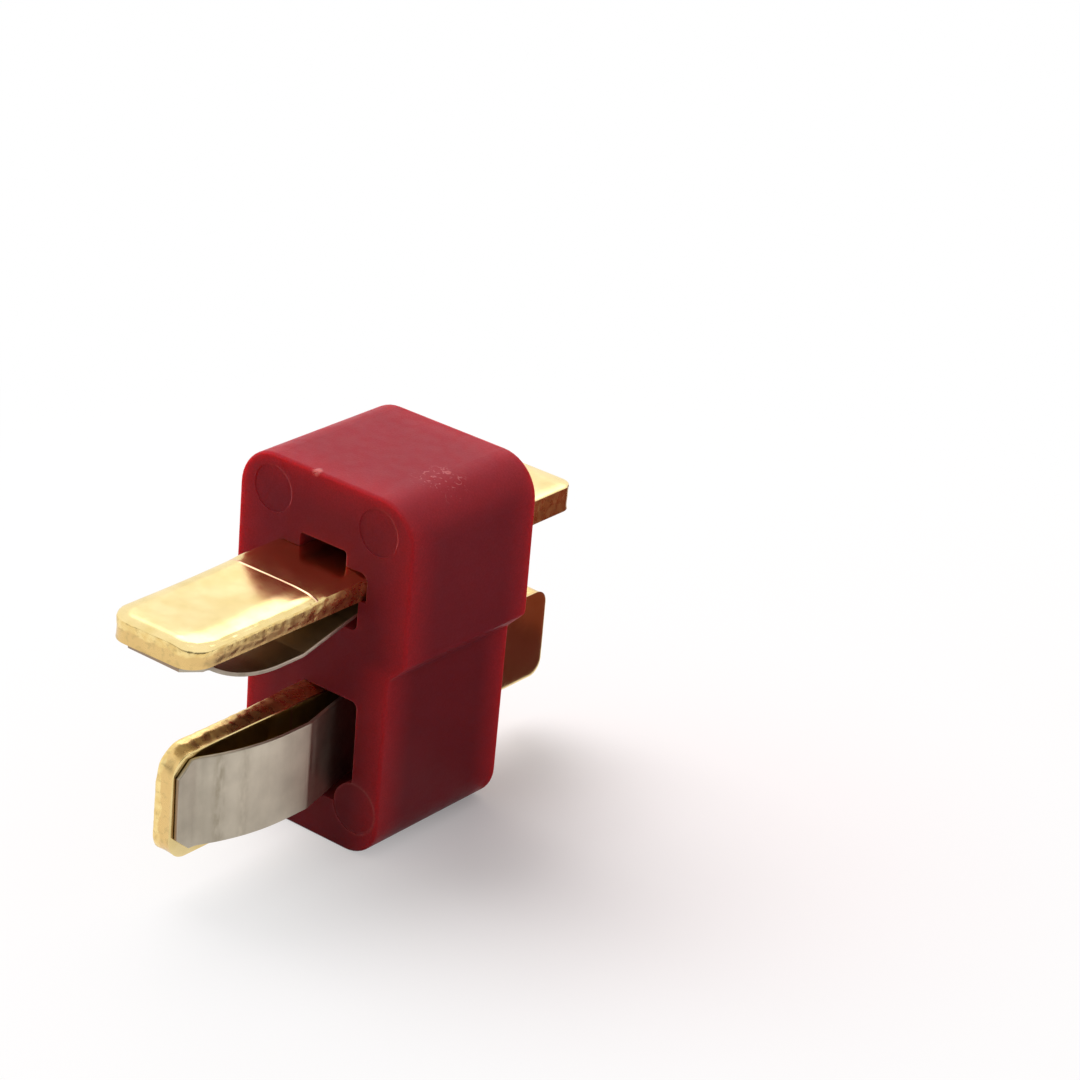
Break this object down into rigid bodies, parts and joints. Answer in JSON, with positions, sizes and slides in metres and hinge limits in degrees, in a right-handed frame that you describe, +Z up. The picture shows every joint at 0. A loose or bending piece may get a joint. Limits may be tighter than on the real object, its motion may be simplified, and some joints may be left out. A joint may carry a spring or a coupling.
{
  "type": "t plug battery connector",
  "caption": "Plug half of a battery connector: a T-shaped moulded red body with two flat gold blades set crosswise, a bowed leaf spring on each, and flat solder tabs behind.",
  "frame": {"origin": "centre of the housing's narrow end face, which the plug stands on, halfway along the housing's depth", "axes": "+Z up, from the narrow end to the wide end; +Y along the contacts from the blade tips to the solder tabs; +X to the side of the lower blade that carries its spring"},
  "size_m": [0.0092, 0.0242, 0.016],
  "materials": {
    "red_nylon": "satin moulded",
    "gold_plate": "polished gold plating",
    "spring_steel": "fine brushed"
  },
  "bodies": {
    "plug_body": {"housing": "red_nylon", "upper_contact": "gold_plate", "lower_contact": "gold_plate"},
    "upper_leaf": {"upper_spring": "spring_steel"},
    "lower_leaf": {"lower_spring": "spring_steel"}
  },
  "joints": [
    {"name": "upper_spring_flex", "type": "slide", "parent": "plug_body", "child": "upper_leaf", "axis": [0, 0, 1], "range_m": [0, 0.0006], "stiffness_N_per_m": 8000, "deforming": ["upper_spring"]},
    {"name": "lower_spring_flex", "type": "slide", "parent": "plug_body", "child": "lower_leaf", "axis": [-1, 0, 0], "range_m": [0, 0.0006], "stiffness_N_per_m": 8000, "deforming": ["lower_spring"]}
  ]
}
